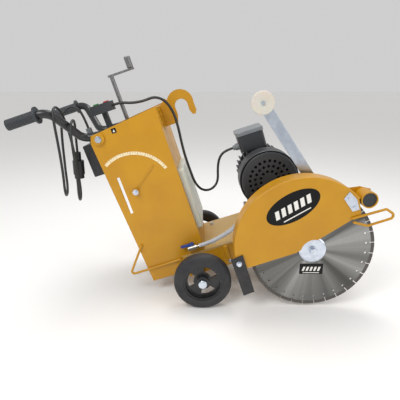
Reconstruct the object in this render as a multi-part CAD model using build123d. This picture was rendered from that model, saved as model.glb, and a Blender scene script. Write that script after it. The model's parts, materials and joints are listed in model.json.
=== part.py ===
from build123d import *
import math
import os

# Walk-behind floor saw. Millimetres. The machine is modelled in its own deck frame: X forward along the
# deck, Y to the left, Z square to the deck, with the rear axle as the origin. The last step tips the
# machine nose-up about that axle, as it stands in its raised transport position, and moves the origin to
# the floor under the middle of its box.

# ---- driving dimensions -------------------------------------------------------------------------------
PITCH = 18.0  # nose-up angle of the deck in the raised position, degrees
CLEAR = 0.5  # gap between pieces that only pass each other
FIT = 0.05  # radial clearance of a running fit

REAR_WHEEL_R = 107.0
REAR_WHEEL_W = 46.0
REAR_TRACK = 504.0  # between the middles of the two rear wheels
REAR_AXLE_R = 10.0
RIM_R = 72.0
FRONT_WHEEL_R = 75.0
FRONT_WHEEL_W = 36.0
FRONT_TRACK = 150.0

DECK_TOP = 72.0
DECK_T = 6.0
DECK_REAR = -60.0
DECK_FRONT = 560.0
DECK_RIGHT = -150.0  # Y of the deck's right edge
DECK_LEFT = 150.0
RAIL_H = 85.0
RAIL_T = 5.0
RAIL_FLANGE = 30.0
PEG_X = 114.0
DECK_BOLTS = ((70.0, -105.0), (70.0, 105.0))
DECK_BOLT_R = 5.0

TOWER_W = 290.0  # outside width across the two side panels
TOWER_T = 4.0
TOWER_FRONT = 32.0
TOWER_REAR_LOW = -206.0
TOWER_REAR_TOP = -234.0
TOWER_TOP_REAR = 622.0
TOWER_TOP_FRONT = 648.0
TOWER_FOOT = 4.0

BLADE_R = 225.0
BLADE_T = 3.0
SEGMENT_T = 3.6
SEGMENT_H = 12.0
SEGMENTS = 32
SLOT_W = 3.4
SLOT_DEPTH = 17.0
HOLE_RING_R = 196.0
HOLE_R = 3.6
ARBOR_X = 417.0
ARBOR_Z = 2.0
ARBOR_R = 12.7
BLADE_Y = -255.0
FLANGE_R = 52.0
HOUSING_W = 20.0  # width of each pillow block; leaves room for the raised front wheels

GUARD_R = 250.0
GUARD_DX = -26.0  # the guard's arc is centred behind and above the arbor
GUARD_DZ = 34.0
GUARD_RIGHT = -292.0
GUARD_LEFT = -222.0
GUARD_T = 3.0
DRUM_DX = 224.0
DRUM_DZ = 132.0
DRUM_R = 29.0

MOTOR_X = 350.0
MOTOR_Z = 262.0
MOTOR_R = 92.0
MOTOR_RIGHT = -40.0  # Y of the fan end of the finned body
MOTOR_LEFT = 136.0
COWL_R = 112.0
COWL_T = 2.5
COWL_RIGHT = -138.0
FINS = 30
MOTOR_FEET_Y = (0.0, 118.0)
TERMINAL_LOW = MOTOR_Z + MOTOR_R + 12.0
TERMINAL_TOP = TERMINAL_LOW + 66.0
SHAFT_R = 14.0
PULLEY_Y = 182.0
PULLEY_W = 40.0
MOTOR_FOOT = MOTOR_R + 20.0  # shaft height above the feet
MOTOR_PULLEY_R = 52.0
ARBOR_PULLEY_R = 45.0
BELT_YS = (174.0, 190.0)
BELT_W = 12.0
BELT_DEPTH = 9.5
BELT_T = 9.0

HANDLE_R = 15.0
HANDLE_BORE = 12.0
HANDLE_SPAN = 450.0
GRIP_R = 19.0
GRIP_L = 106.0
COLLAR_R = 29.0
GRIP_Z = 746.0
GRIP_REAR = -452.0

POINTER_X = 545.0
POINTER_Z = 44.0
POINTER_Y = -196.0
POINTER_L = 528.0
POINTER_T = 6.0
POINTER_PIN_R = 8.0
POINTER_ANGLE = 107.0  # arm's angle from the deck when folded up, degrees
ROLLER_R = 40.0

HANDLE_BOLT_X = -200.0
HANDLE_BOLT_Z = 603.0
BOLT_R = 5.0
BOSS_H = 9.0  # round boss outside each panel where the handlebar's bolt seats
ROD_R = 4.5

NEEDLE_X = -140.0
NEEDLE_Z = 378.0
NEEDLE_L = 122.0
NEEDLE_ANGLE = 38.0  # above the deck line, at zero depth
NEEDLE_PIN_R = 5.0
SCALE_R = 145.0
SCALE_ANGLES = (20, 48, 76, 104, 120)
SLOT_X = -192.0
SLOT_LOW = 300.0
SLOT_TOP = 448.0
PANEL_SLOT_W = 11.0

TANK_BACK = -40.0
TANK_FRONT = 54.0
TANK_HALF = 118.0
TANK_LOW = 152.0
TANK_TOP = 402.0

VALVE_Y = -TOWER_W / 2 - 15.0  # the valve stands off the right panel
VALVE_Z = 100.0
LEAD_Y = -80.0
GLAND_Y = 20.0
LEAD_R = 4.5
CABLE_R = 5.0
HOSE_R = 8.0

CONTROL_Y = -60.0
CONTROL_LOW = 684.0
CONTROL_TOP = 718.0
STALK_LOW = 546.0
BUTTON_XS = (-186.0, -146.0)
BUTTON_R = 11.0

SWING_X = 215.0  # pivot of the front axle's swing arms
SWING_Z = 24.0
SWING_DX = 115.0
SWING_Y = 30.0  # inner face of each swing arm
SWING_T = 10.0

SCREW_X = -105.0  # depth screw, up the middle of the tower
SCREW_R = 8.0
SCREW_TOP = 800.0
SCREW_LOW = 300.0

parts = {}


# ---- helpers ------------------------------------------------------------------------------------------
def yrod(x, z, r, y0, y1):
    """Cylinder along Y between y0 and y1."""
    return Pos(x, (y0 + y1) / 2, z) * Rot(90, 0, 0) * Cylinder(r, abs(y1 - y0))


def yring(x, z, r, bore, y0, y1):
    return yrod(x, z, r, y0, y1) - yrod(x, z, bore, y0 - 1, y1 + 1)


def block(x0, x1, y0, y1, z0, z1):
    return Pos((x0 + x1) / 2, (y0 + y1) / 2, (z0 + z1) / 2) * Box(x1 - x0, y1 - y0, z1 - z0)


def plate(outline, y0, y1):
    """Prism of an X-Z outline between y0 and y1."""
    wire = Polyline([(x, y0, z) for x, z in outline], close=True)
    return extrude(make_face(wire), amount=y1 - y0, dir=(0, 1, 0))


def tube(points, radii, r, bore=0):
    path = FilletPolyline(*points, radius=radii)
    start = Plane(origin=path @ 0, z_dir=path % 0)
    solid = sweep(start * Circle(r), path=path)
    return solid - sweep(start * Circle(bore), path=path) if bore else solid


def polar(x, z, r, degrees):
    return x + r * math.cos(math.radians(degrees)), z + r * math.sin(math.radians(degrees))


def bolt(x, z, y, head, shank, length, side):
    """Hexagon-headed bolt along Y, its head standing out towards side (-1 right, +1 left) of y."""
    hexagon = Rot(90, 0, 0) * extrude(RegularPolygon(head, 6), amount=head * 0.62, both=True)
    body = Pos(x, y + side * head * 0.62, z) * hexagon
    washer = yrod(x, z, head * 1.2, y, y + side * 2)
    return body + washer + yrod(x, z, shank, y, y - side * length)


def seat(shape):
    """Moves a piece from the deck frame to the floor frame, nose-up, rear axle above X = Y = 0."""
    return Pos(0, 0, REAR_WHEEL_R) * Rot(0, -PITCH, 0) * shape


def floor_height(x, height):
    """Deck-frame Z of a point at this X that stands this high above the floor."""
    tilt = math.radians(PITCH)
    return (height - REAR_WHEEL_R - x * math.sin(tilt)) / math.cos(tilt)


# ---- values that follow from the driving dimensions -----------------------------------------------------
PANEL_Y = TOWER_W / 2
RAIL_TOP = DECK_TOP - DECK_T
RAIL_LOW = RAIL_TOP - RAIL_H
FRONT_X = SWING_X + SWING_DX
FRONT_Z = floor_height(FRONT_X, FRONT_WHEEL_R)
GUARD_X = ARBOR_X + GUARD_DX
GUARD_Z = ARBOR_Z + GUARD_DZ
FOOT_Z = MOTOR_Z - MOTOR_FOOT


# ---- chassis ----------------------------------------------------------------------------------------------
def deck_plate():
    deck = block(DECK_REAR, DECK_FRONT, DECK_RIGHT, DECK_LEFT, RAIL_TOP, DECK_TOP)
    lug_y = POINTER_Y + POINTER_T / 2 + CLEAR
    arm = block(POINTER_X - 18, DECK_FRONT, lug_y, DECK_RIGHT, RAIL_TOP - 46, RAIL_TOP)
    deck += arm
    deck -= yrod(POINTER_X, POINTER_Z, POINTER_PIN_R, lug_y - 1, lug_y + 22)
    for side in (-1, 1):
        y0, y1 = sorted((side * PANEL_Y, side * (PANEL_Y - TOWER_T)))
        deck -= block(DECK_REAR - 1, TOWER_FRONT, y0, y1, RAIL_TOP - 1, DECK_TOP + 1)
    for x, y in DECK_BOLTS:
        deck -= Pos(x, y, DECK_TOP) * Cylinder(DECK_BOLT_R, 40)
    return deck


def frame_rails():
    """Two channels under the deck, open inwards, and the sleeve that hangs from the right one."""
    made = []
    for side in (-1, 1):
        face = DECK_RIGHT if side < 0 else DECK_LEFT
        web = face - side * RAIL_T
        inner = face - side * RAIL_FLANGE
        low, high = min(face, inner), max(face, inner)
        rail = block(DECK_REAR, DECK_FRONT, low, high, RAIL_LOW, RAIL_TOP)
        cut = (min(web, inner - side), max(web, inner - side))
        rail -= block(DECK_REAR - 1, DECK_FRONT + 1, *cut, RAIL_LOW + RAIL_T, RAIL_TOP - RAIL_T)
        rail -= block(DECK_REAR - 1, TOWER_FRONT, *sorted((web, inner - side)), RAIL_LOW - 1, RAIL_TOP + 1)
        rail -= yrod(0, 0, REAR_AXLE_R, low - 1, high + 1)
        rail -= yrod(ARBOR_X, ARBOR_Z, ARBOR_R + 4, low - 1, high + 1)
        rail -= yrod(SWING_X, SWING_Z, 10, low - 1, high + 1)
        made.append(rail)
    made[0] += Pos(PEG_X, DECK_RIGHT - 7, RAIL_TOP - 28) * Cylinder(9, 56)
    return Compound(made)


def rear_rods():
    """A bent rod each side, from the tower's rear edge down, back and forward under the deck edge."""
    rods = []
    for side in (-1, 1):
        y = side * (PANEL_Y + ROD_R)
        route = [(-196, y, 168), (-284, y, 60), (-70, y, 62)]
        rods.append(tube(route, [10], ROD_R))
    return Compound(rods)


# ---- tower ------------------------------------------------------------------------------------------------
def tower_panel(side):
    """Side panel; the right one also has the scale's slot and the bearing hole of the needle."""
    outer = side * PANEL_Y
    inner = side * (PANEL_Y - TOWER_T)
    outline = [
        (TOWER_REAR_LOW, TOWER_FOOT),
        (TOWER_REAR_TOP, TOWER_TOP_REAR - 26),
        (TOWER_REAR_TOP + 10, TOWER_TOP_REAR),
        (TOWER_FRONT, TOWER_TOP_FRONT),
        (TOWER_FRONT, TOWER_FOOT),
    ]
    panel = plate(outline, min(outer, inner), max(outer, inner))
    panel += yrod(HANDLE_BOLT_X, HANDLE_BOLT_Z, 22, *sorted((outer, outer + side * BOSS_H)))
    panel -= yrod(0, 0, REAR_AXLE_R + 16, -PANEL_Y - 1, PANEL_Y + 1)
    panel -= yrod(HANDLE_BOLT_X, HANDLE_BOLT_Z, BOLT_R + CLEAR, -PANEL_Y - 20, PANEL_Y + 20)
    if side < 0:
        panel -= block(SLOT_X, SLOT_X + PANEL_SLOT_W, -PANEL_Y - 1, inner + 1, SLOT_LOW, SLOT_TOP)
        panel -= yrod(NEEDLE_X, NEEDLE_Z, NEEDLE_PIN_R + FIT, -PANEL_Y - 1, inner + 1)
    return panel


def tower_front():
    """Front sheet, folded back over the front part of the top, with the tank's window and a cable slot."""
    half = PANEL_Y - TOWER_T
    sheet = block(TOWER_FRONT - TOWER_T, TOWER_FRONT, -half, half, DECK_TOP, TOWER_TOP_FRONT - 4)
    window = TANK_HALF + 2
    sheet -= block(TOWER_FRONT - 9, TOWER_FRONT + 9, -window, window, TANK_LOW - 2, TANK_TOP + 2)
    sheet -= block(TOWER_FRONT - 9, TOWER_FRONT + 9, -78, -62, TOWER_TOP_FRONT - 96, TOWER_TOP_FRONT - 22)
    rise = (TOWER_TOP_FRONT - TOWER_TOP_REAR) / (TOWER_FRONT - TOWER_REAR_TOP)
    back = -70
    fall = (TOWER_FRONT - back) * rise
    top = TOWER_TOP_FRONT - 4
    sheet += plate([(TOWER_FRONT, top), (back, top - fall), (back, top - fall - 3), (TOWER_FRONT, top - 3)],
                   -half, half)
    return sheet


def water_tank():
    tank = block(TANK_BACK, TANK_FRONT, -TANK_HALF, TANK_HALF, TANK_LOW, TANK_TOP)
    tank = fillet(tank.edges(), 9)
    inside = block(TANK_BACK + 4, TANK_FRONT - 4, 4 - TANK_HALF, TANK_HALF - 4, TANK_LOW + 4, TANK_TOP - 4)
    return tank - fillet(inside.edges(), 5)


def switch_box():
    """Black electrical box set between the side panels at the tower's rear."""
    half = PANEL_Y - TOWER_T
    box = block(-268, -226, -half, half, 476, 596)
    return fillet(box.edges().filter_by(Axis.Y), 4)


def lifting_hook():
    """Cane-shaped plate on the tower's front: a stem, an arch and a tip that points down."""
    stem = plate([(TOWER_FRONT, 560), (56, 560), (78, 600), (78, 640), (60, 662), (TOWER_FRONT, 640)], -5, 5)
    arch = yrod(112, 628, 52, -5, 5) - yrod(114, 618, 25, -6, 6) - block(50, 220, -6, 6, 500, 618)
    tip = plate([(139, 619), (163, 619), (165, 585), (158, 572), (147, 573), (139, 590)], -5, 5)
    leg = plate([(60, 620), (89, 620), (90, 590), (82, 560), (56, 560)], -5, 5)
    return stem + arch + tip + leg


def depth_scale():
    arc = yring(NEEDLE_X, NEEDLE_Z, SCALE_R + 6, SCALE_R - 6, -PANEL_Y - 1.5, -PANEL_Y)
    keep = [(NEEDLE_X, NEEDLE_Z)] + [polar(NEEDLE_X, NEEDLE_Z, 2 * SCALE_R, a) for a in SCALE_ANGLES]
    return arc & plate(keep, -PANEL_Y - 3, -PANEL_Y + 1)


def depth_needle():
    """Pointer with its spindle and the washer and head that hold it."""
    y = -PANEL_Y - CLEAR
    needle = block(0, NEEDLE_L, y - 2.5, y - 1, -2, 2)
    needle = Pos(NEEDLE_X, 0, NEEDLE_Z) * Rot(0, -NEEDLE_ANGLE, 0) * needle
    needle += yrod(NEEDLE_X, NEEDLE_Z, 13, y - 4, y)
    needle += bolt(NEEDLE_X, NEEDLE_Z, y - 4, 9, NEEDLE_PIN_R, 30, -1)
    return needle


def handlebar():
    half = HANDLE_SPAN / 2
    side = PANEL_Y - TOWER_T - CLEAR - HANDLE_R
    route = [
        (GRIP_REAR + 6, -half, GRIP_Z), (-306, -half, GRIP_Z), (-256, -side, 620), (-48, -side, HANDLE_BOLT_Z)
    ]
    route += [(x, -y, z) for x, y, z in reversed(route)]
    return tube(route, [46, 40, 50, 50, 40, 46], HANDLE_R, HANDLE_BORE)


def handle_grips():
    grips = []
    for side in (-1, 1):
        y = side * HANDLE_SPAN / 2
        grip = Cylinder(GRIP_R, GRIP_L)
        for i in range(9):
            grip -= Pos(0, 0, (i - 4) * 10) * Torus(GRIP_R + 1.2, 2.4)
        grip += Pos(0, 0, GRIP_L / 2 + 3) * Cylinder(COLLAR_R, 6)
        grip -= Pos(0, 0, 12) * Cylinder(HANDLE_R, GRIP_L + 12)
        grips.append(Pos(GRIP_REAR + GRIP_L / 2, y, GRIP_Z) * Rot(0, 90, 0) * grip)
    return Compound(grips)


def zinc_bolts():
    """Handlebar bolts, the deck's bolts and the stop bolt under the right rail."""
    bolts = []
    for side in (-1, 1):
        y = side * (PANEL_Y + BOSS_H)
        bolts.append(bolt(HANDLE_BOLT_X, HANDLE_BOLT_Z, y, 10, BOLT_R, BOSS_H + 3.6, side))
    upright = Rot(90, 0, 0) * bolt(0, 0, 0, 8, DECK_BOLT_R, 12, 1)
    for x, y in DECK_BOLTS:
        bolts.append(Pos(x, y, DECK_TOP) * upright)
    bolts.append(Pos(PEG_X, DECK_RIGHT - 7, RAIL_TOP - 56 - 7) * Cylinder(6.5, 14))
    return Compound(bolts)


def control_box():
    """Switch box on a stalk above the handlebar, with pockets for its two buttons."""
    box = block(-206, -126, CONTROL_Y - 38, CONTROL_Y + 38, CONTROL_LOW, CONTROL_TOP)
    box = fillet(box.edges().filter_by(Axis.Z), 8)
    for x in BUTTON_XS:
        box -= Pos(x, CONTROL_Y, CONTROL_TOP - 6) * Cylinder(BUTTON_R + 0.3, 12.1)
    stalk = block(-174, -156, CONTROL_Y - 12, CONTROL_Y + 12, STALK_LOW, CONTROL_LOW)
    return box + stalk


def button(x):
    cap = Pos(x, CONTROL_Y, CONTROL_TOP - 1) * Cylinder(BUTTON_R, 12)
    return fillet(cap.edges().sort_by(Axis.Z)[-1], 2)


def crank():
    """Depth screw with its nut's travel hidden in the tower, and the crank and knob on top."""
    rod = Pos(SCREW_X, 0, (SCREW_TOP + SCREW_LOW) / 2) * Cylinder(SCREW_R, SCREW_TOP - SCREW_LOW)
    arm = block(SCREW_X - 12, SCREW_X + 92, -7, 7, SCREW_TOP, SCREW_TOP + 8)
    knob = Pos(SCREW_X + 80, 0, SCREW_TOP + 8 + 22) * Cylinder(12, 44)
    return rod + arm + fillet(knob.edges(), 5)


def screw_bearing():
    """Cross bar in the tower with the bore that carries the depth screw."""
    half = PANEL_Y - TOWER_T
    bar = block(SCREW_X - 72, SCREW_X + 20, -half, half, 522, STALK_LOW)
    return bar - Pos(SCREW_X, 0, 534) * Cylinder(SCREW_R + FIT, 40)


# ---- motor and belt drive -----------------------------------------------------------------------------
def motor_stands():
    """Two folded stands, welded to the deck, that carry the motor's feet."""
    stands = []
    for y in MOTOR_FEET_Y:
        stand = block(MOTOR_X - 95, MOTOR_X + 95, y - 18, y + 18, DECK_TOP, FOOT_Z)
        stand -= block(MOTOR_X - 96, MOTOR_X + 96, y - 13, y + 19, DECK_TOP + 5, FOOT_Z - 5)
        stands.append(stand)
    return stands[0] + stands[1]


def motor_body():
    """Finned stator housing with its feet, bored right through for the rotor."""
    body = yrod(MOTOR_X, MOTOR_Z, MOTOR_R - 12, MOTOR_RIGHT, MOTOR_LEFT)
    for i in range(FINS):
        angle = 360 * (i + 0.5) / FINS
        fin = block(MOTOR_R - 16, MOTOR_R + 10, MOTOR_RIGHT, MOTOR_LEFT, -1.8, 1.8)
        body += Pos(MOTOR_X, 0, MOTOR_Z) * Rot(0, angle, 0) * fin
    for y in MOTOR_FEET_Y:
        for side in (-1, 1):
            x = MOTOR_X + side * 62
            body += block(x - 20, x + 20, y - 16, y + 16, FOOT_Z, MOTOR_Z - 50)
    body += block(MOTOR_X - 44, MOTOR_X + 40, 4, 92, MOTOR_Z + MOTOR_R - 20, TERMINAL_LOW)
    body -= yrod(MOTOR_X, MOTOR_Z, MOTOR_R - 22, MOTOR_RIGHT - 1, MOTOR_LEFT + 1)
    return body


def motor_end_shields():
    """Bearing end shields at both ends of the stator housing."""
    shields = []
    for y, out in ((MOTOR_RIGHT, -1), (MOTOR_LEFT, 1)):
        shield = yrod(MOTOR_X, MOTOR_Z, MOTOR_R - 4, *sorted((y, y + out * 12)))
        shield += yrod(MOTOR_X, MOTOR_Z, MOTOR_R - 22 - CLEAR, *sorted((y, y - out * 8)))
        shields.append(shield - yrod(MOTOR_X, MOTOR_Z, SHAFT_R + FIT, y - 30, y + 30))
    return Compound(shields)


def fan_cowl():
    """Pressed cowl over the fan, with rings of air holes in its face."""
    cowl = yrod(MOTOR_X, MOTOR_Z, COWL_R, COWL_RIGHT, MOTOR_RIGHT - 12)
    cowl = fillet(cowl.edges().sort_by(Axis.Y)[0], 14)
    cowl -= yrod(MOTOR_X, MOTOR_Z, COWL_R - COWL_T, COWL_RIGHT + COWL_T, MOTOR_RIGHT - 11)
    for ring, count in ((34, 12), (54, 18), (74, 24)):
        for i in range(count):
            x, z = polar(MOTOR_X, MOTOR_Z, ring, 360 * i / count)
            cowl -= yrod(x, z, 5.5, COWL_RIGHT - 1, COWL_RIGHT + COWL_T + 1)
    return cowl + yring(MOTOR_X, MOTOR_Z, COWL_R - COWL_T, MOTOR_R - 4, MOTOR_RIGHT - 12, MOTOR_RIGHT - 9)


def motor_rotor():
    core = yrod(MOTOR_X, MOTOR_Z, MOTOR_R - 24, MOTOR_RIGHT + 12, MOTOR_LEFT - 12)
    return core + yrod(MOTOR_X, MOTOR_Z, SHAFT_R, COWL_RIGHT + 16, PULLEY_Y + PULLEY_W / 2 + 4)


def motor_fan():
    y0, y1 = COWL_RIGHT + 16, MOTOR_RIGHT - 22
    fan = yring(MOTOR_X, MOTOR_Z, 24, SHAFT_R, y0, y1) + yring(MOTOR_X, MOTOR_Z, 92, SHAFT_R, y1 - 4, y1)
    for i in range(7):
        blade = block(20, 92, y0 + 10, y1 - 2, -1.5, 1.5)
        fan += Pos(MOTOR_X, 0, MOTOR_Z) * Rot(0, 360 * i / 7, 0) * blade
    return fan


def terminal_box():
    box = block(MOTOR_X - 66, MOTOR_X + 40, -6, 102, TERMINAL_LOW, TERMINAL_TOP)
    return fillet(box.edges().filter_by(Axis.Z), 9)


def terminal_lid():
    lid = block(MOTOR_X - 69, MOTOR_X + 43, -9, 105, TERMINAL_TOP, TERMINAL_TOP + 16)
    lid = fillet(lid.edges().filter_by(Axis.Z), 11)
    return fillet(lid.edges().group_by(Axis.Z)[-1], 4)


def pulley(x, z, r, bore):
    """Two-groove V pulley."""
    body = yring(x, z, r, bore, PULLEY_Y - PULLEY_W / 2, PULLEY_Y + PULLEY_W / 2)
    for groove in BELT_YS:
        cone = yring(x, z, r + 1, r - BELT_DEPTH, groove - BELT_W / 2, groove + BELT_W / 2)
        body -= cone
    return body


def belt_outline(big, small, y0, y1):
    """Solid inside a line round both pulleys: two discs and the band between their tangent points."""
    dx, dz = ARBOR_X - MOTOR_X, ARBOR_Z - MOTOR_Z
    along = math.degrees(math.atan2(dz, dx))
    wrap = math.degrees(math.acos((big - small) / math.hypot(dx, dz)))
    corners = [
        polar(MOTOR_X, MOTOR_Z, big, along + wrap),
        polar(ARBOR_X, ARBOR_Z, small, along + wrap),
        polar(ARBOR_X, ARBOR_Z, small, along - wrap),
        polar(MOTOR_X, MOTOR_Z, big, along - wrap),
    ]
    band = plate(corners, y0, y1) + yrod(MOTOR_X, MOTOR_Z, big, y0, y1)
    return band + yrod(ARBOR_X, ARBOR_Z, small, y0, y1)


def drive_belts():
    """Two belts round both pulleys, each a band between the pulleys' common tangents."""
    belts = []
    for groove in BELT_YS:
        y0, y1 = groove - BELT_W / 2 + CLEAR, groove + BELT_W / 2 - CLEAR
        outer = belt_outline(MOTOR_PULLEY_R, ARBOR_PULLEY_R, y0, y1)
        belts.append(outer - belt_outline(MOTOR_PULLEY_R - BELT_T, ARBOR_PULLEY_R - BELT_T, y0, y1))
    return Compound(belts)


def belt_cover():
    """Open-backed cover over the belt drive, outside the left rail."""
    y0, y1 = DECK_LEFT + 2, PULLEY_Y + PULLEY_W / 2 + 14
    gap, wall = 22, 2.5
    outer = belt_outline(MOTOR_PULLEY_R + gap, ARBOR_PULLEY_R + gap, y0, y1)
    inner = belt_outline(
        MOTOR_PULLEY_R + gap - wall, ARBOR_PULLEY_R + gap - wall, y0 - 1, y1 - wall
    )
    cover = outer - inner
    tabs = [block(x - 14, x + 14, DECK_LEFT - 12, y0 + 8, DECK_TOP, DECK_TOP + 4) for x in (304, 430)]
    trimmed = [tab - inner for tab in tabs]
    return cover + trimmed[0] + trimmed[1]


def bearing_housings():
    """Pillow blocks hung under the deck inside each rail."""
    made = []
    for side in (-1, 1):
        outer = DECK_LEFT - RAIL_FLANGE - 4
        y0, y1 = sorted((side * outer, side * (outer - HOUSING_W)))
        housing = yrod(ARBOR_X, ARBOR_Z, 40, y0, y1)
        housing += block(ARBOR_X - 55, ARBOR_X + 55, y0, y1, ARBOR_Z + 20, RAIL_TOP)
        made.append(housing - yrod(ARBOR_X, ARBOR_Z, ARBOR_R + FIT, y0 - 1, y1 + 1))
    return Compound(made)


def arbor_shaft():
    return yrod(ARBOR_X, ARBOR_Z, ARBOR_R, BLADE_Y - 8, PULLEY_Y + PULLEY_W / 2 + 4)


# ---- blade and guard ------------------------------------------------------------------------------------
def blade():
    """Steel core with diamond segments, keyed by narrow radial slots and a ring of small holes."""
    disc = yrod(ARBOR_X, ARBOR_Z, BLADE_R - SEGMENT_H, BLADE_Y - BLADE_T / 2, BLADE_Y + BLADE_T / 2)
    segment_y = (BLADE_Y - SEGMENT_T / 2, BLADE_Y + SEGMENT_T / 2)
    disc += yring(ARBOR_X, ARBOR_Z, BLADE_R, BLADE_R - SEGMENT_H, *segment_y)
    cuts = [yrod(ARBOR_X, ARBOR_Z, ARBOR_R, BLADE_Y - 5, BLADE_Y + 5)]
    for i in range(SEGMENTS):
        angle = 360 * i / SEGMENTS
        slot = block(BLADE_R - SLOT_DEPTH, BLADE_R + 3, BLADE_Y - 5, BLADE_Y + 5, -SLOT_W / 2, SLOT_W / 2)
        cuts.append(Pos(ARBOR_X, 0, ARBOR_Z) * Rot(0, angle, 0) * slot)
        x, z = polar(ARBOR_X, ARBOR_Z, HOLE_RING_R, angle)
        cuts.append(yrod(x, z, HOLE_R, BLADE_Y - 5, BLADE_Y + 5))
    return disc - cuts


def blade_flanges():
    """Inner and outer clamping flanges; the outer one is domed."""
    right, left = BLADE_Y - BLADE_T / 2, BLADE_Y + BLADE_T / 2
    inner = yring(ARBOR_X, ARBOR_Z, FLANGE_R, ARBOR_R, left, left + 14)
    outer = yrod(ARBOR_X, ARBOR_Z, FLANGE_R, right - 14, right)
    outer = fillet(outer.edges().sort_by(Axis.Y)[0], 12)
    return Compound([inner, outer - yrod(ARBOR_X, ARBOR_Z, ARBOR_R, right - 20, right + 1)])


def arbor_bolt():
    y = BLADE_Y - BLADE_T / 2 - 14
    return bolt(ARBOR_X, ARBOR_Z, y, 13, 8, 0.01, -1) - yrod(ARBOR_X, ARBOR_Z, 8.2, y, y + 1)


def below_guard(y0, y1):
    """Space under the guard's lower edge."""
    edge = [(-420, 12), (-62, 20), (186, 92), (190, 149), (420, 149), (420, -420), (-420, -420)]
    return plate([(ARBOR_X + x, ARBOR_Z + z) for x, z in edge], y0, y1)


def guard_shell():
    y0, y1 = GUARD_RIGHT, GUARD_LEFT
    shell = yrod(GUARD_X, GUARD_Z, GUARD_R, y0, y1)
    shell = fillet(shell.edges().sort_by(Axis.Y)[0], 4)
    shell -= yrod(GUARD_X, GUARD_Z, GUARD_R - GUARD_T, y0 + GUARD_T, y1 - GUARD_T)
    shell -= below_guard(y0 - 1, y1 + 1)
    shell -= yrod(ARBOR_X, ARBOR_Z, 50, y0 - 1, y0 + GUARD_T + 1)
    shell -= yrod(ARBOR_X, ARBOR_Z, FLANGE_R + 6, y1 - GUARD_T - 1, y1 + 1)
    return shell


def guard_lug():
    """Extension of the guard's back plate that carries the drum at its front."""
    outline = [(130, 204), (130, 118), (222, 98), (256, 118), (256, 146), (222, 166), (186, 172)]
    return plate([(ARBOR_X + x, ARBOR_Z + z) for x, z in outline], GUARD_LEFT - GUARD_T, GUARD_LEFT)


def guard_drum():
    x, z = ARBOR_X + DRUM_DX, ARBOR_Z + DRUM_DZ
    return yring(x, z, DRUM_R, DRUM_R - 4, GUARD_RIGHT + 2, GUARD_LEFT - GUARD_T)


def guard_fittings():
    """Zinc strip on the guard's face beside the drum, and the bolt of the flap."""
    outline = [(140, 166), (158, 112), (182, 112), (182, 150), (164, 184)]
    strip = plate([(ARBOR_X + x, ARBOR_Z + z) for x, z in outline], GUARD_RIGHT - 3, GUARD_RIGHT)
    for x, z in ((158, 160), (168, 124)):
        strip += yrod(ARBOR_X + x, ARBOR_Z + z, 5, GUARD_RIGHT - 6, GUARD_RIGHT)
    flap_bolt = bolt(ARBOR_X - 266, ARBOR_Z + 44, GUARD_RIGHT - 5, 8, 3, 0.01, -1)
    return Compound([strip, flap_bolt])


def guard_handle():
    """Bent rod loop welded to the guard's front edge."""
    y = GUARD_RIGHT - ROD_R
    route = [(150, 88), (270, 86), (300, 48), (196, 46), (152, 74)]
    return tube([(ARBOR_X + x, y, ARBOR_Z + z) for x, z in route], [12, 12, 12], ROD_R)


def splash_flap():
    """Rubber flap bolted over the guard's lower rear corner."""
    left, top = ARBOR_X - 290, ARBOR_Z + 66
    outline = [(left, top), (left + 46, top + 6), (left + 46, top - 146), (left + 4, top - 150)]
    return plate(outline, GUARD_RIGHT - 5, GUARD_RIGHT)


# ---- wheels -------------------------------------------------------------------------------------------------
def rear_axle():
    half = REAR_TRACK / 2 + REAR_WHEEL_W / 2 + 10
    return yrod(0, 0, REAR_AXLE_R, -half, half)


def rear_tyre(side):
    y = side * REAR_TRACK / 2
    tyre = yring(0, 0, REAR_WHEEL_R, RIM_R, y - REAR_WHEEL_W / 2, y + REAR_WHEEL_W / 2)
    outer = tyre.edges().filter_by(lambda e: abs(e.length - 2 * math.pi * REAR_WHEEL_R) < 1)
    return fillet(outer, 14)


def rear_rim(side):
    """Pressed wheel centre: hub tube, web with three openings, and the rim that carries the tyre."""
    y = side * REAR_TRACK / 2
    rim = yring(0, 0, RIM_R, RIM_R - 6, y - REAR_WHEEL_W / 2 + 3, y + REAR_WHEEL_W / 2 - 3)
    web = yring(0, 0, RIM_R - 5, REAR_AXLE_R + FIT, y - 4, y + 4)
    for i in range(3):
        window = yring(0, 0, 56, 34, y - 6, y + 6)
        sector = [(0, 0)] + [polar(0, 0, 120, 120 * i + a) for a in (6, 37, 68)]
        web -= window & plate(sector, y - 8, y + 8)
    hub = yring(0, 0, 24, REAR_AXLE_R + FIT, y - REAR_WHEEL_W / 2, y + REAR_WHEEL_W / 2)
    return rim + web + hub


def wheel_nuts():
    nuts = []
    for side in (-1, 1):
        y = side * (REAR_TRACK / 2 + REAR_WHEEL_W / 2 + CLEAR)
        nut = yrod(0, 0, 17, *sorted((y, y + side * 14)))
        nut = fillet(nut.edges().sort_by(Axis.Y)[0 if side < 0 else -1], 6)
        nuts.append(nut - yrod(0, 0, REAR_AXLE_R, *sorted((y - side, y + side * 9.5))))
    return Compound(nuts)


def swing_pin():
    return yrod(SWING_X, SWING_Z, 10, DECK_RIGHT + RAIL_T, DECK_LEFT - RAIL_T)


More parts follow.
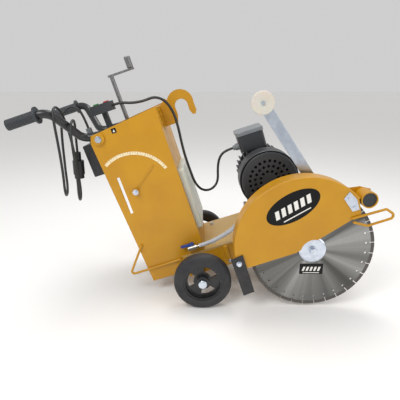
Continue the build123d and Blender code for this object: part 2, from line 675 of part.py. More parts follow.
def swing_arm():
    """Front axle on two arms that turn on a pin between the rails."""
    frame = yring(SWING_X, SWING_Z, 20, 10 + FIT, -SWING_Y - SWING_T, SWING_Y + SWING_T)
    angle = math.atan2(FRONT_Z - SWING_Z, FRONT_X - SWING_X)
    nx, nz = -math.sin(angle) * 16, math.cos(angle) * 16
    outline = [(SWING_X + nx, SWING_Z + nz), (SWING_X - nx, SWING_Z - nz),
               (FRONT_X - nx, FRONT_Z - nz), (FRONT_X + nx, FRONT_Z + nz)]
    for side in (-1, 1):
        y0, y1 = sorted((side * SWING_Y, side * (SWING_Y + SWING_T)))
        frame += plate(outline, y0, y1) + yrod(FRONT_X, FRONT_Z, 16, y0, y1)
    frame -= yrod(SWING_X, SWING_Z, 10 + FIT, -100, 100)
    half = FRONT_TRACK / 2 + FRONT_WHEEL_W / 2 + 6
    return frame + yrod(FRONT_X, FRONT_Z, 9, -half, half)


def front_wheel(side):
    y = side * FRONT_TRACK / 2
    wheel = yrod(FRONT_X, FRONT_Z, FRONT_WHEEL_R, y - FRONT_WHEEL_W / 2, y + FRONT_WHEEL_W / 2)
    wheel = fillet(wheel.edges().filter_by(GeomType.CIRCLE), 7)
    wheel -= yrod(FRONT_X, FRONT_Z, 44, *sorted((y + side * 10, y + side * 20)))
    return wheel - yrod(FRONT_X, FRONT_Z, 9 + FIT, y - 30, y + 30)


# ---- pointer ------------------------------------------------------------------------------------------------
def pointer_arm():
    """Flat bar with a pivot pin at its foot and the roller's stub at its end."""
    bar = block(0, POINTER_L, POINTER_Y - POINTER_T / 2, POINTER_Y + POINTER_T / 2, -19, 19)
    bar += yrod(0, 0, 19, POINTER_Y - POINTER_T / 2, POINTER_Y + POINTER_T / 2)
    bar += yrod(POINTER_L, 0, 19, POINTER_Y - POINTER_T / 2, POINTER_Y + POINTER_T / 2)
    bar += yrod(0, 0, POINTER_PIN_R - FIT, POINTER_Y, POINTER_Y + 22)
    bar += yrod(0, 0, 13, POINTER_Y - 9, POINTER_Y)
    bar += yrod(POINTER_L, 0, 6, POINTER_Y - 22, POINTER_Y)
    return Pos(POINTER_X, 0, POINTER_Z) * Rot(0, -POINTER_ANGLE, 0) * bar


def pointer_roller():
    x, z = polar(POINTER_X, POINTER_Z, POINTER_L, POINTER_ANGLE)
    y = POINTER_Y - POINTER_T / 2 - CLEAR
    roller = yrod(x, z, ROLLER_R, y - 14, y)
    roller = fillet(roller.edges().filter_by(GeomType.CIRCLE), 3)
    return roller - yrod(x, z, 6 + FIT, y - 20, y + 1)


# ---- water --------------------------------------------------------------------------------------------------
def water_valve():
    """Ball valve on the right panel."""
    body = Pos(-8, VALVE_Y, VALVE_Z) * Rot(0, 90, 0) * Cylinder(10, 36)
    body += Pos(-8, VALVE_Y, VALVE_Z + 5) * Cylinder(7, 14)
    body += block(-16, 0, VALVE_Y, -PANEL_Y, VALVE_Z - 6, VALVE_Z + 6)
    return body + Pos(14, VALVE_Y, VALVE_Z) * Rot(0, 90, 0) * Cylinder(5, 8)


def valve_handle():
    lever = block(-44, 6, -7, 7, 0, 6)
    lever = fillet(lever.edges().filter_by(Axis.Z), 5) + Cylinder(9, 14)
    return Pos(-8, VALVE_Y, VALVE_Z + 12.3) * (lever - Pos(0, 0, -4) * Box(60, 40, 8))


def spray_pipe():
    """Pipe up from the deck that takes the hose behind the guard."""
    return tube([(236, -138, DECK_TOP), (236, -138, 210), (236, -200, 210), (212, -200, 184)], [16, 16], 6, 4)


def cable_glands():
    """Gland of the supply lead on the switch box and gland of the motor's cable on the terminal box."""
    lead = Pos(-240, LEAD_Y, 596 + 15) * Cylinder(15, 30) + Pos(-240, LEAD_Y, 596 + 40) * Cylinder(11, 28)
    motor = Pos(MOTOR_X - 66 - 8, GLAND_Y, TERMINAL_LOW + 26) * Rot(0, 90, 0) * Cylinder(14, 16)
    motor += Pos(MOTOR_X - 66 - 21, GLAND_Y, TERMINAL_LOW + 26) * Rot(0, 90, 0) * Cylinder(10, 10)
    return Compound([lead, motor])


# ---- cords. Their points are in the floor frame, X forward, the rear axle above X = Y = 0 ---------------
LEAD_ROUTE = [
    (-428.9, -80, 651.0), (-443.9, -80, 697), (-463, -84, 727), (-493, -92, 729), (-515, -102, 706),
    (-519, -112, 660), (-517, -122, 600), (-514, -129, 545), (-512, -134, 495), (-510, -134, 448),
    (-503, -161, 420), (-495, -200, 421), (-489, -227, 449), (-487, -232, 500), (-489, -234, 560),
    (-493, -236, 625), (-498, -239, 690), (-503, -226, 729), (-502, -190, 738), (-492, -160, 706),
    (-480, -146, 640), (-469, -142, 560), (-463, -141, 490), (-459, -141, 428), (-454, -164, 404),
    (-447, -198, 404), (-443, -221, 429), (-441, -224, 485), (-445, -223, 550), (-451, -217, 610),
    (-455, -208, 652), (-457, -187, 684), (-459, -152, 690), (-464, -124, 666), (-470, -110, 620),
    (-471, -104, 565),
]
MOTOR_CABLE_ROUTE = [
    (-336.4, -60, 734.8), (-307.9, -60, 744.1), (-262, -64, 742), (-218, -68, 750), (-178, -70, 766),
    (-138, -70, 752), (-108, -69, 708), (-92, -67, 652), (-81, -62, 595), (-68, -54, 540),
    (-50, -44, 484), (-30, -32, 425), (0, -20, 392), (38, -4, 391), (65, 8, 421), (62.4, 16, 485.7),
    (70.7, 20, 524.8), (92.8, 20, 549.3), (124.2, 20, 559.5),
]
HOSE_ROUTE = [
    (-13.8, -160, 207.7), (18, -160, 218), (55, -165, 238), (92, -180, 268), (118, -193, 296),
    (132.3, -200, 320.3), (144.8, -200, 347.5),
]


def cord_radii(points):
    """At each corner the largest arc that both of its runs have room for."""
    radii = []
    for before, corner, after in zip(points, points[1:], points[2:]):
        one, two = Vector(*corner) - Vector(*before), Vector(*after) - Vector(*corner)
        turn = math.radians(one.get_angle(two))
        radii.append(0.45 * min(one.length, two.length) / math.tan(turn / 2))
    return radii


def cord(name, points, r):
    radii = cord_radii(points)
    path = FilletPolyline(*points, radius=radii)
    solid = sweep(Plane(origin=path @ 0, z_dir=path % 0) * Circle(r), path=path)
    share = solid.volume / (math.pi * r * r * path.length)
    print(name, "length", round(path.length), "volume / section x length", round(share, 4))
    print(name, "radii", [round(radius) for radius in radii])
    return solid


def lead_plug():
    """Plug hanging from the end of the supply lead, straight down in the floor frame."""
    x, y, z = LEAD_ROUTE[-1]
    plug = Pos(x, y, z - 16) * Cylinder(12, 32) + Pos(x, y, z - 58) * Cylinder(21, 52)
    return plug + Pos(x, y, z - 92) * Cylinder(18, 16)


# ---- assembly -------------------------------------------------------------------------------------------
deck_pieces = {
    "deck_plate": deck_plate() + motor_stands(),
    "frame_rails": frame_rails(),
    "rear_rods": rear_rods(),
    "tower_panel_right": tower_panel(-1),
    "tower_panel_left": tower_panel(1),
    "tower_front": tower_front(),
    "water_tank": water_tank(),
    "switch_box": switch_box(),
    "lifting_hook": lifting_hook(),
    "depth_scale": depth_scale(),
    "depth_needle": depth_needle(),
    "depth_crank": crank(),
    "screw_bearing": screw_bearing(),
    "handlebar": handlebar(),
    "handle_grips": handle_grips(),
    "zinc_bolts": zinc_bolts(),
    "control_box": control_box(),
    "start_button": button(BUTTON_XS[0]),
    "stop_button": button(BUTTON_XS[1]),
    "cable_glands": cable_glands(),
    "motor_body": motor_body(),
    "motor_end_shields": motor_end_shields(),
    "fan_cowl": fan_cowl(),
    "terminal_box": terminal_box(),
    "terminal_lid": terminal_lid(),
    "motor_rotor": motor_rotor(),
    "motor_fan": motor_fan(),
    "motor_pulley": pulley(MOTOR_X, MOTOR_Z, MOTOR_PULLEY_R, SHAFT_R),
    "arbor_pulley": pulley(ARBOR_X, ARBOR_Z, ARBOR_PULLEY_R, ARBOR_R),
    "drive_belts": drive_belts(),
    "belt_cover": belt_cover(),
    "bearing_housings": bearing_housings(),
    "arbor_shaft": arbor_shaft(),
    "blade": blade(),
    "blade_flanges": blade_flanges(),
    "arbor_bolt": arbor_bolt(),
    "guard_shell": guard_shell() + guard_lug(),
    "guard_drum": guard_drum(),
    "guard_fittings": guard_fittings(),
    "guard_handle": guard_handle(),
    "splash_flap": splash_flap(),
    "rear_axle": rear_axle(),
    "rear_tyre_right": rear_tyre(-1),
    "rear_tyre_left": rear_tyre(1),
    "rear_rim_right": rear_rim(-1),
    "rear_rim_left": rear_rim(1),
    "wheel_nuts": wheel_nuts(),
    "swing_pin": swing_pin(),
    "swing_arm": swing_arm(),
    "front_wheel_right": front_wheel(-1),
    "front_wheel_left": front_wheel(1),
    "pointer_arm": pointer_arm(),
    "pointer_roller": pointer_roller(),
    "water_valve": water_valve(),
    "valve_handle": valve_handle(),
    "spray_pipe": spray_pipe(),
}
cords = {
    "supply_lead": cord("supply_lead", LEAD_ROUTE, LEAD_R),
    "lead_plug": lead_plug(),
    "motor_cable": cord("motor_cable", MOTOR_CABLE_ROUTE, CABLE_R),
    "water_hose": cord("water_hose", HOSE_ROUTE, HOSE_R),
}

machine = {name: seat(shape) for name, shape in deck_pieces.items()}
whole = Compound([solid for shape in machine.values() for solid in shape.solids()]).bounding_box()
to_origin = Pos(-whole.center().X, -whole.center().Y, -whole.min.Z)

os.makedirs("parts", exist_ok=True)
for name, shape in (machine | cords).items():
    solids = (to_origin * shape).solids()
    export_step(solids[0] if len(solids) == 1 else Compound(solids), f"parts/{name}.step")
print("origin moved by", to_origin.position, "nodes", len(machine) + len(cords))
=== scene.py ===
import json
import math

import bpy
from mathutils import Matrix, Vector


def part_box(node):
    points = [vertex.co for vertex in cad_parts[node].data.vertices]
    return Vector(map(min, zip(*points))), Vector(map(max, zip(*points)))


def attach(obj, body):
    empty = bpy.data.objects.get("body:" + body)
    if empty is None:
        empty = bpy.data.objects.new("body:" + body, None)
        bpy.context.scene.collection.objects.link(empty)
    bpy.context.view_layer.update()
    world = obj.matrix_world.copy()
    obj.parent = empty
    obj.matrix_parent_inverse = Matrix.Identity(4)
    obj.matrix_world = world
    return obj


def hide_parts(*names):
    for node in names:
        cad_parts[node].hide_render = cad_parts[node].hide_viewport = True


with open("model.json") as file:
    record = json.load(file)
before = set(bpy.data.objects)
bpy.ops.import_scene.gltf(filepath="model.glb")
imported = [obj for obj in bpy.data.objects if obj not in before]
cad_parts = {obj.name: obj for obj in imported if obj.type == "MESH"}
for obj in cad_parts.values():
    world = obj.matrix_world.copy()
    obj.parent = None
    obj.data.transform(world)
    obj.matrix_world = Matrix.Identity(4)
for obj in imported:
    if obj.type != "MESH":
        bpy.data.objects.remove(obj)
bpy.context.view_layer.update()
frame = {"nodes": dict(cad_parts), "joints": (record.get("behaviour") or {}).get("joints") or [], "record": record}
nodes = frame["nodes"]

# ---- frame ----------------------------------------------------------------------------------------------
# The machine stands nose-up. Its deck frame has X forward along the deck, Y left, Z square to the deck and
# the rear axle as origin.
PITCH_DEGREES = 18
PITCH = math.radians(PITCH_DEGREES)
joints = {j["name"]: j for j in frame["joints"]}
wheels = [Vector(joints[f"rear_wheel_{side}_spin"]["pos_m"]) for side in ("right", "left")]
AXLE = (wheels[0] + wheels[1]) / 2
FLOOR_ORIGIN = Vector((AXLE.x, AXLE.y, 0))  # origin of the cords' routes
ALONG = Vector((math.cos(PITCH), 0, math.sin(PITCH)))
SQUARE = Vector((-math.sin(PITCH), 0, math.cos(PITCH)))
LEFT = Vector((0, 1, 0))
HUB = Vector(joints["blade_spin"]["pos_m"])  # centre of the blade


def deck(x, y, z):
    """Place of a deck-frame point, given in millimetres."""
    return AXLE + (ALONG * x + LEFT * y + SQUARE * z) / 1000


def from_floor(place):
    """Place of a point given in millimetres from the floor under the rear axle's middle."""
    return FLOOR_ORIGIN + Vector(place) / 1000


# ---- materials ------------------------------------------------------------------------------------------
def linear(channel):
    """Linear value of a 0 to 255 screen value."""
    return channel / 255 / 12.92 if channel < 11 else ((channel / 255 + 0.055) / 1.055) ** 2.4


def srgb(*channels):
    """Opaque linear colour from 0 to 255 screen values."""
    return tuple(linear(channel) for channel in channels) + (1,)


class Shader:
    """A material with one Principled shader, and short calls that add to its tree."""

    def __init__(self, name, color, rough, metal=0.0, **sockets):
        self.material = bpy.data.materials.new(name)
        self.material.use_nodes = True
        self.tree = self.material.node_tree
        self.bsdf = self.tree.nodes["Principled BSDF"]
        self.set("Base Color", color)
        self.set("Roughness", rough)
        self.set("Metallic", metal)
        self.material.diffuse_color = color
        for socket, value in sockets.items():
            self.set(socket.replace("_", " "), value)

    def set(self, socket, value):
        self.bsdf.inputs[socket].default_value = value

    def add(self, kind, **values):
        node = self.tree.nodes.new(kind)
        for key, value in values.items():
            setattr(node, key, value)
        return node

    def link(self, out, into):
        self.tree.links.new(out, into)

    def place(self):
        """Place on the piece, which goes with it when its body moves."""
        return self.add("ShaderNodeTexCoord").outputs["Object"]

    def noise(self, scale, detail=4.0, stretch=None):
        """Noise in the piece's own coordinates, finer with scale; stretch squeezes it along an axis."""
        node = self.add("ShaderNodeTexNoise")
        node.inputs["Scale"].default_value = scale
        node.inputs["Detail"].default_value = detail
        source = self.place()
        if stretch:
            mapping = self.add("ShaderNodeMapping")
            mapping.inputs["Scale"].default_value = stretch
            self.link(source, mapping.inputs["Vector"])
            source = mapping.outputs["Vector"]
        self.link(source, node.inputs["Vector"])
        return node.outputs["Fac"]

    def ramp(self, source, low, high, start=0.35, end=0.65):
        """Values from low to high as the source goes from start to end."""
        node = self.add("ShaderNodeMapRange")
        for socket, value in (("From Min", start), ("From Max", end), ("To Min", low), ("To Max", high)):
            node.inputs[socket].default_value = value
        self.link(source, node.inputs["Value"])
        return node.outputs["Result"]

    def mix(self, mask, under, over):
        """Colour that goes from under to over with the mask; either may be a colour or an output."""
        node = self.add("ShaderNodeMix", data_type="RGBA")
        self.link(mask, node.inputs["Factor"])
        for socket, value in ((node.inputs[6], under), (node.inputs[7], over)):
            if isinstance(value, tuple):
                socket.default_value = value
            else:
                self.link(value, socket)
        return node.outputs[2]

    def edges(self, radius, low=0.02, high=0.3):
        """Mask that is 1 on sharp edges, from the difference between the rounded and the true normal."""
        bevel = self.add("ShaderNodeBevel", samples=4)
        bevel.inputs["Radius"].default_value = radius
        dot = self.add("ShaderNodeVectorMath", operation="DOT_PRODUCT")
        self.link(bevel.outputs["Normal"], dot.inputs[0])
        self.link(self.add("ShaderNodeNewGeometry").outputs["True Normal"], dot.inputs[1])
        return self.ramp(dot.outputs["Value"], 1, 0, 1 - high, 1 - low)

    def soften(self, radius):
        """Rounded look on the piece's edges."""
        bevel = self.add("ShaderNodeBevel", samples=4)
        bevel.inputs["Radius"].default_value = radius
        self.link(bevel.outputs["Normal"], self.bsdf.inputs["Normal"])
        return bevel

    def bump(self, source, strength, distance, under=None):
        """Fine relief from the source, over the softened edges if under is set."""
        node = self.add("ShaderNodeBump")
        node.inputs["Strength"].default_value = strength
        node.inputs["Distance"].default_value = distance
        self.link(source, node.inputs["Height"])
        if under:
            self.link(under.outputs["Normal"], node.inputs["Normal"])
        self.link(node.outputs["Normal"], self.bsdf.inputs["Normal"])


def paint(name, color, dark, rough=0.34, worn=None, wear=0.0015):
    """Enamel with a faint change of tone, orange peel, softened edges and, if worn is set, rubbed edges."""
    s = Shader(name, color, rough, Coat_Weight=0.06, Coat_Roughness=0.2)
    tone = s.mix(s.ramp(s.noise(9), 0, 0.35), color, dark)
    if worn:
        chips = s.add("ShaderNodeMath", operation="MULTIPLY")
        s.link(s.edges(wear), chips.inputs[0])
        s.link(s.ramp(s.noise(120), 0, 1, 0.45, 0.6), chips.inputs[1])
        tone = s.mix(chips.outputs[0], tone, worn)
    s.link(tone, s.bsdf.inputs["Base Color"])
    s.link(s.ramp(s.noise(30), rough - 0.06, rough + 0.1), s.bsdf.inputs["Roughness"])
    s.bump(s.noise(420), 0.05, 0.0004, s.soften(0.0012))
    return s.material


def metal(name, color, dark, rough, grain=(1, 1, 1), scale=160, soft=0.0006, uneven=0.8):
    """Bare or plated metal, with its grain stretched along an axis."""
    s = Shader(name, color, rough, 1.0)
    s.link(s.mix(s.ramp(s.noise(scale, 3, grain), 0, uneven), color, dark), s.bsdf.inputs["Base Color"])
    s.link(s.ramp(s.noise(scale / 3), rough - 0.06, rough + 0.12), s.bsdf.inputs["Roughness"])
    s.soften(soft)
    return s.material


def plastic(name, color, dark, rough, grain=600, depth=0.0002, **sockets):
    """Moulded plastic or rubber with a fine texture."""
    s = Shader(name, color, rough, **sockets)
    s.link(s.mix(s.ramp(s.noise(14), 0, 0.5), color, dark), s.bsdf.inputs["Base Color"])
    s.link(s.ramp(s.noise(60), rough - 0.05, rough + 0.1), s.bsdf.inputs["Roughness"])
    s.bump(s.noise(grain), 0.25, depth, s.soften(0.0008))
    return s.material


def radial_steel():
    """Ground disc: fine rings of tone round the hub, a painted sheen in sectors (lighter and darker sectors of
    colour that stand for reflected light), and darker segments at the rim.
    """
    core_radius, segment_radius = 0.2125, 0.2132  # metres from the hub, where steel turns to segment
    ring_scale, painted_sheen_scale = 700, 1.9
    # light and dark are the lit and shaded ends of the painted sheen; dark is also the colour of the rings
    light, dark = srgb(168, 168, 166), srgb(88, 88, 86)
    s = Shader("blade_steel", light, 0.3, 1.0)
    flat = s.add("ShaderNodeVectorMath", operation="MULTIPLY_ADD")
    flat.inputs[1].default_value = (1, 0, 1)
    flat.inputs[2].default_value = (-HUB.x, 0, -HUB.z)
    s.link(s.place(), flat.inputs[0])
    radius = s.add("ShaderNodeVectorMath", operation="LENGTH")
    s.link(flat.outputs["Vector"], radius.inputs[0])
    radius = radius.outputs["Value"]
    way = s.add("ShaderNodeVectorMath", operation="NORMALIZE")
    s.link(flat.outputs["Vector"], way.inputs[0])
    ring = s.add("ShaderNodeTexNoise", noise_dimensions="1D")
    ring.inputs["Scale"].default_value = ring_scale
    s.link(radius, ring.inputs["W"])
    # painted sheen: noise on the direction round the hub makes lighter and darker sectors that stand for reflected
    # light; tone then carries this painted reflection under the rings
    painted_sheen = s.add("ShaderNodeTexNoise")
    painted_sheen.inputs["Scale"].default_value = painted_sheen_scale
    painted_sheen.inputs["Detail"].default_value = 3
    s.link(way.outputs["Vector"], painted_sheen.inputs["Vector"])
    tone = s.mix(s.ramp(painted_sheen.outputs["Fac"], 0, 1, 0.36, 0.64), dark, light)
    tone = s.mix(s.ramp(ring.outputs["Fac"], 0, 0.3), tone, dark)
    rim = s.ramp(radius, 0, 1, core_radius, segment_radius)
    s.link(s.mix(rim, tone, srgb(92, 88, 84)), s.bsdf.inputs["Base Color"])
    s.link(s.ramp(rim, 0.3, 0.75, 0, 1), s.bsdf.inputs["Roughness"])
    s.link(s.ramp(rim, 1, 0.25, 0, 1), s.bsdf.inputs["Metallic"])
    s.bump(ring.outputs["Fac"], 0.12, 0.0002)
    return s.material


YELLOW, YELLOW_DARK = srgb(198, 143, 6), srgb(176, 118, 4)
BARE = srgb(120, 112, 102)
finishes = {
    "yellow_paint": paint("yellow_paint", YELLOW, YELLOW_DARK),
    "deck_paint": paint("deck_paint", srgb(196, 158, 84), srgb(172, 156, 130), 0.42, BARE, 0.003),
    "black_paint": paint("black_paint", srgb(30, 31, 33), srgb(44, 45, 46), 0.3, srgb(150, 150, 148), 0.001),
    "motor_grey": paint("motor_grey", srgb(42, 44, 46), srgb(60, 62, 66), 0.45),
    "zinc": metal("zinc", srgb(214, 222, 234), srgb(186, 194, 208), 0.22, scale=60, uneven=0.5),
    "galvanised": metal(
        "galvanised", srgb(204, 212, 224), srgb(172, 182, 198), 0.34, scale=40, soft=0.0015, uneven=0.6
    ),
    "blade_steel": radial_steel(),
    "steel": metal("steel", srgb(150, 150, 150), srgb(110, 110, 110), 0.3, (1, 40, 1)),
    "iron": metal("iron", srgb(84, 84, 84), srgb(56, 56, 56), 0.5),
    "tyre": plastic("tyre", srgb(38, 38, 42), srgb(60, 60, 58), 0.62, 300, 0.0006),
    "grip_rubber": plastic("grip_rubber", srgb(44, 48, 52), srgb(60, 66, 70), 0.5),
    "flap_rubber": plastic("flap_rubber", srgb(44, 43, 45), srgb(58, 56, 56), 0.6, 200, 0.0006),
    "cable_rubber": plastic("cable_rubber", srgb(34, 36, 36), srgb(50, 52, 50), 0.42),
    "black_plastic": plastic("black_plastic", srgb(42, 44, 48), srgb(56, 60, 64), 0.45),
    "grey_plastic": plastic("grey_plastic", srgb(128, 132, 134), srgb(108, 112, 116), 0.42),
    "tank_plastic": plastic(
        "tank_plastic", srgb(212, 208, 196), srgb(196, 192, 180), 0.38, 80, 0.0004, Subsurface_Weight=0.2
    ),
    "scale_white": plastic("scale_white", srgb(244, 226, 184), srgb(230, 208, 160), 0.5),
    "green_plastic": plastic("green_plastic", srgb(30, 140, 60), srgb(24, 120, 50), 0.3),
    "red_plastic": plastic("red_plastic", srgb(178, 30, 24), srgb(150, 24, 20), 0.3),
    "blue_plastic": plastic("blue_plastic", srgb(30, 72, 158), srgb(22, 54, 124), 0.35),
    # plated brass, so it looks silvery
    "brass": metal("brass", srgb(206, 202, 190), srgb(168, 162, 148), 0.32),
    "hose_pvc": plastic(
        "hose_pvc", srgb(212, 218, 226), srgb(190, 196, 204), 0.2, 300, 0.0005, Transmission_Weight=0.35
    ),
}
label_black = plastic("label_black", srgb(8, 8, 9), srgb(14, 14, 15), 0.35, Specular_IOR_Level=0.25)
label_pale = plastic("label_pale", srgb(236, 234, 228), srgb(220, 218, 210), 0.35)

for part in frame["record"]["subparts"]:
    node = nodes[part["node"]]
    node.data.materials.clear()
    node.data.materials.append(finishes[part["material_slot"]])


# ---- pieces ---------------------------------------------------------------------------------------------
BADGE_T, LABEL_T, MARK_T = 0.0005, 0.0003, 0.0002  # thicknesses of the thin plates, metres


def piece(name, body, material, verts, faces, smooth=False):
    """Mesh piece that rides on a body."""
    mesh = bpy.data.meshes.new(name)
    mesh.from_pydata([tuple(v) for v in verts], [], faces)
    mesh.materials.append(material)
    mesh.validate()
    if smooth:
        mesh.shade_smooth()
    obj = bpy.data.objects.new(name, mesh)
    bpy.context.scene.collection.objects.link(obj)
    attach(obj, body)
    return obj


def slab(name, body, material, outline, y, thick):
    """Flat plate with its outline in the XZ plane, in metres, whose face towards -Y lies at y - thick."""
    n = len(outline)
    verts = [Vector((p.x, y, p.z)) for p in outline] + [Vector((p.x, y - thick, p.z)) for p in outline]
    faces = [list(range(n)), list(range(2 * n - 1, n - 1, -1))]
    faces += [[i, i + n, (i + 1) % n + n, (i + 1) % n] for i in range(n)]
    return piece(name, body, material, verts, faces)


def turned(center, right, up):
    """Function from a local (u, v) in millimetres to a place, for a label with these two directions."""
    return lambda u, v: center + (right * u + up * v) / 1000


def ellipse(at, a, b, count=64):
    """Outline of an ellipse with half axes a and b."""
    turns = [2 * math.pi * i / count for i in range(count)]
    return [at(a * math.cos(turn), b * math.sin(turn)) for turn in turns]


def bar(at, left, low, right, high, lean=0.0):
    """Outline of a rectangle, or of one whose top leans right and whose bottom leans left."""
    return [at(left - lean, low), at(right - lean, low), at(right + lean, high), at(left + lean, high)]


def directions(angle):
    """The direction at this angle from the floor, in radians, and the one square to it."""
    return Vector((math.cos(angle), 0, math.sin(angle))), Vector((-math.sin(angle), 0, math.cos(angle)))


def spun(degrees):
    """Right and up directions of a label turned nose-up by so many degrees from the floor."""
    return directions(math.radians(degrees))


def slanted_bars(name, body, at, y, count, width, height, pitch):
    """Plain generic mark: a row of slanted pale bars."""
    lean = height * 0.3
    for i in range(count):
        u = (i - (count - 1) / 2) * pitch
        outline = bar(at, u - width / 2, -height / 2, u + width / 2, height / 2, lean / 2)
        slab(f"{name}_bar_{i}", body, label_pale, outline, y, MARK_T)


def guard_badge():
    """Black oval with a generic mark and a pale line under it, on the guard's outer face."""
    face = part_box("guard_shell")[0].y
    at = turned(deck(386, 0, 191), *spun(31))
    slab("badge_oval", "guard", label_black, ellipse(at, 100, 50), face, BADGE_T)
    slanted_bars("badge", "guard", at, face - BADGE_T, 6, 15, 30, 24)
    line = bar(at, -52, -34, 52, -30)
    slab("badge_line", "guard", label_pale, line, face - BADGE_T, MARK_T)


def blade_label():
    """Black plate with a generic mark and a pale line under it, below the blade's hub."""
    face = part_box("blade")[0].y
    at = turned(HUB + Vector((0.004, 0, -0.080)), *spun(0))
    outline = bar(at, -43, -21, 43, 21)
    slab("blade_label", "blade_spindle", label_black, outline, face, LABEL_T)
    slanted_bars("blade_label", "blade_spindle", at, face - LABEL_T, 5, 8, 17, 14)
    line = bar(at, -30, -17, 30, -14)
    slab("blade_label_line", "blade_spindle", label_pale, line, face - LABEL_T, MARK_T)


def tower_labels():
    """Small black label with a plain triangle, near the top of the tower's right panel."""
    face = deck(0, -145, 0).y
    at = turned(deck(-137, 0, 615), *spun(PITCH_DEGREES))
    slab("tower_label", "chassis", label_black, bar(at, -9, -9, 9, 9), face, LABEL_T)
    inner = [at(-4.5, -5), at(4.5, -5), at(0, 5)]
    slab("tower_label_mark", "chassis", label_pale, inner, face - LABEL_T, MARK_T)


def scale_ticks():
    """Dark tick marks across the depth scale's strip, every third one longer."""
    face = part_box("depth_scale")[0].y
    centre = deck(-140, 0, 378)
    count, first, step = 27, 24, 3.6  # angles in degrees from the deck
    long_inner, short_inner, outer, half_width = 0.1405, 0.1455, 0.1505, 0.0004
    for i in range(count):
        out, side = directions(PITCH + math.radians(first + step * i))
        inner = long_inner if i % 3 == 0 else short_inner
        corners = ((inner, -half_width), (outer, -half_width), (outer, half_width), (inner, half_width))
        outline = [centre + out * radius + side * across for radius, across in corners]
        slab(f"scale_tick_{i}", "chassis", label_black, outline, face, MARK_T)


def needle_bolt():
    """Zinc washer and hexagonal head on the needle's pivot."""
    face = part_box("depth_needle")[0].y
    at = turned(Vector(joints["depth_needle_turn"]["pos_m"]), *spun(PITCH_DEGREES))
    washer_t, head_t = 0.0015, 0.005
    slab("needle_washer", "needle", finishes["zinc"], ellipse(at, 11, 11, 40), face, washer_t)
    hexagon = ellipse(at, 7.5, 7.5, 6)
    slab("needle_bolt_head", "needle", finishes["zinc"], hexagon, face - washer_t, head_t)


def drum_cap():
    """Dark cap in the front drum's open face."""
    low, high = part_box("guard_drum")
    disc = ellipse(turned((low + high) / 2, *spun(0)), 24.8, 24.8, 48)
    slab("drum_cap", "guard", finishes["black_plastic"], disc, low.y + 0.008, 0.004)


# ---- cords ----------------------------------------------------------------------------------------------
# The same points as the CAD's, in millimetres: X forward from the rear axle, Z up from the floor.
LEAD_ROUTE = [
    (-428.9, -80, 651.0), (-443.9, -80, 697), (-463, -84, 727), (-493, -92, 729), (-515, -102, 706),
    (-519, -112, 660), (-517, -122, 600), (-514, -129, 545), (-512, -134, 495), (-510, -134, 448),
    (-503, -161, 420), (-495, -200, 421), (-489, -227, 449), (-487, -232, 500), (-489, -234, 560),
    (-493, -236, 625), (-498, -239, 690), (-503, -226, 729), (-502, -190, 738), (-492, -160, 706),
    (-480, -146, 640), (-469, -142, 560), (-463, -141, 490), (-459, -141, 428), (-454, -164, 404),
    (-447, -198, 404), (-443, -221, 429), (-441, -224, 485), (-445, -223, 550), (-451, -217, 610),
    (-455, -208, 652), (-457, -187, 684), (-459, -152, 690), (-464, -124, 666), (-470, -110, 620),
    (-471, -104, 565),
]
MOTOR_CABLE_ROUTE = [
    (-336.4, -60, 734.8), (-307.9, -60, 744.1), (-262, -64, 742), (-218, -68, 750), (-178, -70, 766),
    (-138, -70, 752), (-108, -69, 708), (-92, -67, 652), (-81, -62, 595), (-68, -54, 540),
    (-50, -44, 484), (-30, -32, 425), (0, -20, 392), (38, -4, 391), (65, 8, 421), (62.4, 16, 485.7),
    (70.7, 20, 524.8), (92.8, 20, 549.3), (124.2, 20, 559.5),
]
HOSE_ROUTE = [
    (-13.8, -160, 207.7), (18, -160, 218), (55, -165, 238), (92, -180, 268), (118, -193, 296),
    (132.3, -200, 320.3), (144.8, -200, 347.5),
]


def cord(name, node, slot, route, radius):
    """Round cord on a smooth curve through the route's points, in place of its CAD tube."""
    curve = bpy.data.curves.new(name, "CURVE")
    curve.dimensions = "3D"
    curve.bevel_depth = radius
    curve.bevel_resolution = 5
    curve.resolution_u = 10
    spline = curve.splines.new("NURBS")
    spline.points.add(len(route) - 1)
    for point, place in zip(spline.points, route):
        point.co = (*from_floor(place), 1)
    spline.order_u = 3
    spline.use_endpoint_u = True
    curve.materials.append(finishes[slot])
    obj = bpy.data.objects.new(name, curve)
    bpy.context.scene.collection.objects.link(obj)
    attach(obj, "chassis")
    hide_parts(node)


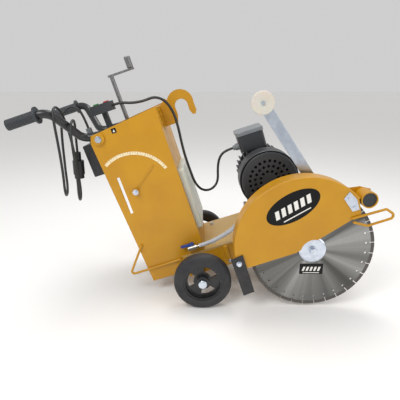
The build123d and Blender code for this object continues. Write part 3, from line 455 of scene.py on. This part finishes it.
# ---- surroundings ---------------------------------------------------------------------------------------
def floor():
    """Wide pale floor at height 0."""
    mesh = bpy.data.meshes.new("floor")
    reach = 30
    mesh.from_pydata([(-reach, -reach, 0), (reach, -reach, 0), (reach, reach, 0), (-reach, reach, 0)],
                     [], [(0, 1, 2, 3)])
    shade = Shader("floor", srgb(252, 251, 249), 0.6)
    mesh.materials.append(shade.material)
    obj = bpy.data.objects.new("floor", mesh)
    bpy.context.scene.collection.objects.link(obj)


def lamp(name, place, target, size, power):
    """Square white area lamp turned towards its target."""
    light = bpy.data.lights.new(name, "AREA")
    light.size = size
    light.energy = power
    obj = bpy.data.objects.new(name, light)
    obj.location = place
    obj.rotation_euler = (Vector(target) - Vector(place)).to_track_quat("-Z", "Y").to_euler()
    bpy.context.scene.collection.objects.link(obj)


def studio():
    """White world and three soft lamps."""
    world = bpy.data.worlds.new("studio")
    world.use_nodes = True
    background = world.node_tree.nodes["Background"]
    background.inputs["Color"].default_value = (1, 1, 1, 1)
    background.inputs["Strength"].default_value = 0.62
    bpy.context.scene.world = world
    bpy.context.scene.view_settings.view_transform = "Standard"
    lamp("key", (-1.2, -1.9, 2.4), (0, 0, 0.35), 1.2, 34)
    lamp("fill", (2.4, -1.2, 1.2), (0, 0, 0.35), 1.6, 12)
    lamp("top", (0.2, 0.6, 2.6), (0, 0, 0.3), 1.4, 26)


def camera():
    """Camera a little higher than the handle, looking across the machine and 17 degrees down."""
    data = bpy.data.cameras.new("camera")
    data.sensor_width = 36
    data.lens = 35
    obj = bpy.data.objects.new("camera", data)
    obj.location = (-0.005, -1.546, 0.820)
    obj.rotation_euler = (math.radians(73), 0, 0)
    bpy.context.scene.collection.objects.link(obj)
    bpy.context.scene.camera = obj


# ---- scene ----------------------------------------------------------------------------------------------
camera()
studio()
floor()
cord("supply_lead_cord", "supply_lead", "cable_rubber", LEAD_ROUTE, 0.0045)
cord("motor_cable_cord", "motor_cable", "cable_rubber", MOTOR_CABLE_ROUTE, 0.005)
cord("water_hose_cord", "water_hose", "hose_pvc", HOSE_ROUTE, 0.008)
guard_badge()
blade_label()
tower_labels()
scale_ticks()
needle_bolt()
drum_cap()
